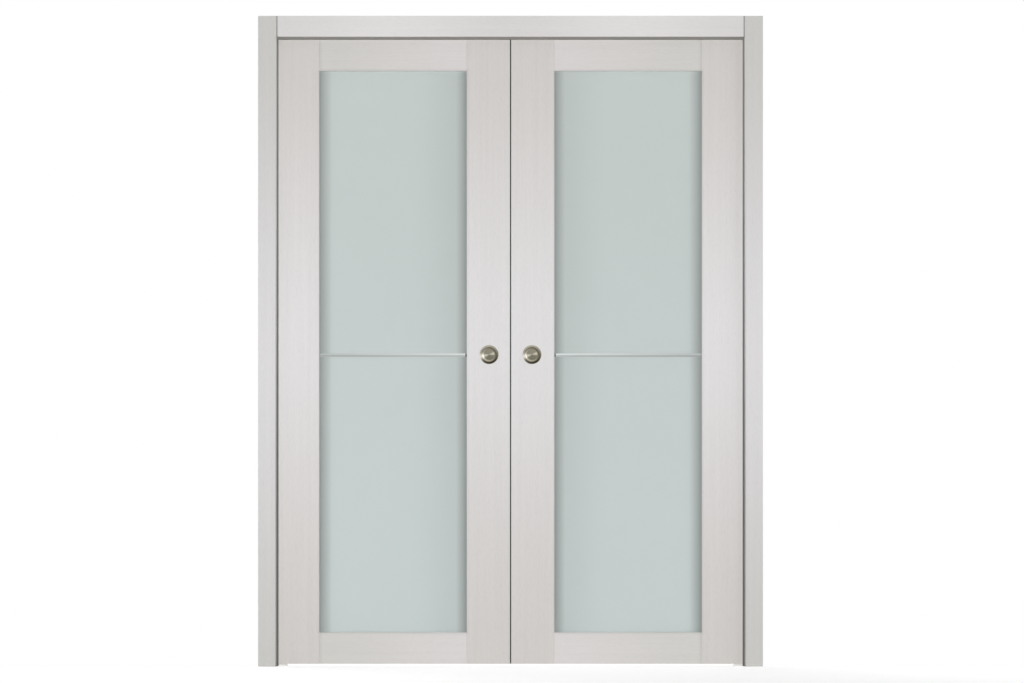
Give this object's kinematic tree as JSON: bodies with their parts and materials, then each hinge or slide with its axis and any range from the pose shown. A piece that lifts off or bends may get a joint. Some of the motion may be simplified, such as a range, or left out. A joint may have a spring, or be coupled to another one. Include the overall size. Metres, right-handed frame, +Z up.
{
  "type": "double pocket door",
  "caption": "Double pocket door with two glazed sliding leaves, split jambs, casings on both faces, flush pulls, and overhead tracks that carry the leaves into the wall.",
  "frame": {"origin": "on the floor at the line where the leaves meet, in the middle of the wall's thickness", "axes": "+X to the right along the wall seen from the front, -Y out of the front face, +Z up"},
  "size_m": [2.8646, 0.148, 2.115],
  "materials": {
    "casing_laminate": "pale grey ash-look laminate on MDF, satin, fine grain along each board",
    "leaf_laminate": "pale warm grey ash-look laminate, satin, fine grain along each board",
    "frosted_glass": "pale blue-green glass, frosted, translucent",
    "bar_aluminium": "bright satin anodised",
    "gasket_rubber": "soft, matt",
    "satin_nickel": "satin nickel, brushed in circles",
    "seal_rubber": "grey, matt",
    "header_timber": "planed softwood",
    "track_aluminium": "mill extruded",
    "stop_casting": "satin",
    "buffer_rubber": "matt",
    "zinc_plated_steel": "bright zinc plated",
    "guide_nylon": "moulded",
    "carriage_casting": "cast, satin",
    "wheel_acetal": "turned, smooth"
  },
  "bodies": {
    "frame": {"casing_leg_front_left": "casing_laminate", "casing_leg_front_right": "casing_laminate", "casing_head_front": "casing_laminate", "casing_leg_back_left": "casing_laminate", "casing_leg_back_right": "casing_laminate", "casing_head_back": "casing_laminate", "jamb_front_left": "casing_laminate", "jamb_front_right": "casing_laminate", "jamb_back_left": "casing_laminate", "jamb_back_right": "casing_laminate", "head_jamb_front": "casing_laminate", "head_jamb_back": "casing_laminate", "seals_front": "seal_rubber", "seals_back": "seal_rubber", "header_board": "header_timber", "track_left": "track_aluminium", "track_right": "track_aluminium", "centre_stop": "stop_casting", "end_stops": "stop_casting", "stop_buffers": "buffer_rubber", "end_brackets": "zinc_plated_steel", "track_screws": "zinc_plated_steel", "floor_guides": "guide_nylon"},
    "leaf_left": {"meeting_stile_left": "leaf_laminate", "outer_stile_left": "leaf_laminate", "top_rail_left": "leaf_laminate", "bottom_rail_left": "leaf_laminate", "upper_pane_left": "frosted_glass", "lower_pane_left": "frosted_glass", "glazing_bar_left": "bar_aluminium", "glazing_gasket_left": "gasket_rubber", "pull_front_left": "satin_nickel", "pull_back_left": "satin_nickel", "hanger_plates_left": "zinc_plated_steel", "hanger_bolts_left": "zinc_plated_steel", "inner_carriage_left": "carriage_casting", "outer_carriage_left": "carriage_casting", "meeting_seal": "seal_rubber"},
    "wheels_inner_a_left": {"wheels_inner_a_left": "wheel_acetal"},
    "wheels_inner_b_left": {"wheels_inner_b_left": "wheel_acetal"},
    "wheels_outer_a_left": {"wheels_outer_a_left": "wheel_acetal"},
    "wheels_outer_b_left": {"wheels_outer_b_left": "wheel_acetal"},
    "leaf_right": {"meeting_stile_right": "leaf_laminate", "outer_stile_right": "leaf_laminate", "top_rail_right": "leaf_laminate", "bottom_rail_right": "leaf_laminate", "upper_pane_right": "frosted_glass", "lower_pane_right": "frosted_glass", "glazing_bar_right": "bar_aluminium", "glazing_gasket_right": "gasket_rubber", "pull_front_right": "satin_nickel", "pull_back_right": "satin_nickel", "hanger_plates_right": "zinc_plated_steel", "hanger_bolts_right": "zinc_plated_steel", "inner_carriage_right": "carriage_casting", "outer_carriage_right": "carriage_casting"},
    "wheels_inner_a_right": {"wheels_inner_a_right": "wheel_acetal"},
    "wheels_inner_b_right": {"wheels_inner_b_right": "wheel_acetal"},
    "wheels_outer_a_right": {"wheels_outer_a_right": "wheel_acetal"},
    "wheels_outer_b_right": {"wheels_outer_b_right": "wheel_acetal"}
  },
  "joints": [
    {"name": "slide_left", "type": "slide", "parent": "frame", "child": "leaf_left", "axis": [-1, 0, 0], "range_m": [0, 0.65]},
    {"name": "roll_inner_a_left", "type": "hinge", "parent": "leaf_left", "child": "wheels_inner_a_left", "pos_m": [-0.05975, 0, 2.0657], "axis": [0, -1, 0], "range_deg": [-15, 3400]},
    {"name": "roll_inner_b_left", "type": "hinge", "parent": "leaf_left", "child": "wheels_inner_b_left", "pos_m": [-0.10375, 0, 2.0657], "axis": [0, -1, 0], "range_deg": [-15, 3400]},
    {"name": "roll_outer_a_left", "type": "hinge", "parent": "leaf_left", "child": "wheels_outer_a_left", "pos_m": [-0.66175, 0, 2.0657], "axis": [0, -1, 0], "range_deg": [-15, 3400]},
    {"name": "roll_outer_b_left", "type": "hinge", "parent": "leaf_left", "child": "wheels_outer_b_left", "pos_m": [-0.70575, 0, 2.0657], "axis": [0, -1, 0], "range_deg": [-15, 3400]},
    {"name": "slide_right", "type": "slide", "parent": "frame", "child": "leaf_right", "axis": [1, 0, 0], "range_m": [0, 0.65]},
    {"name": "roll_inner_a_right", "type": "hinge", "parent": "leaf_right", "child": "wheels_inner_a_right", "pos_m": [0.05975, 0, 2.0657], "axis": [0, 1, 0], "range_deg": [-15, 3400]},
    {"name": "roll_inner_b_right", "type": "hinge", "parent": "leaf_right", "child": "wheels_inner_b_right", "pos_m": [0.10375, 0, 2.0657], "axis": [0, 1, 0], "range_deg": [-15, 3400]},
    {"name": "roll_outer_a_right", "type": "hinge", "parent": "leaf_right", "child": "wheels_outer_a_right", "pos_m": [0.66175, 0, 2.0657], "axis": [0, 1, 0], "range_deg": [-15, 3400]},
    {"name": "roll_outer_b_right", "type": "hinge", "parent": "leaf_right", "child": "wheels_outer_b_right", "pos_m": [0.70575, 0, 2.0657], "axis": [0, 1, 0], "range_deg": [-15, 3400]}
  ],
  "couplings": [
    {"joint": "roll_inner_a_left", "follows": "slide_left", "rad_per_m": 90.909},
    {"joint": "roll_inner_b_left", "follows": "slide_left", "rad_per_m": 90.909},
    {"joint": "roll_outer_a_left", "follows": "slide_left", "rad_per_m": 90.909},
    {"joint": "roll_outer_b_left", "follows": "slide_left", "rad_per_m": 90.909},
    {"joint": "roll_inner_a_right", "follows": "slide_right", "rad_per_m": 90.909},
    {"joint": "roll_inner_b_right", "follows": "slide_right", "rad_per_m": 90.909},
    {"joint": "roll_outer_a_right", "follows": "slide_right", "rad_per_m": 90.909},
    {"joint": "roll_outer_b_right", "follows": "slide_right", "rad_per_m": 90.909}
  ]
}
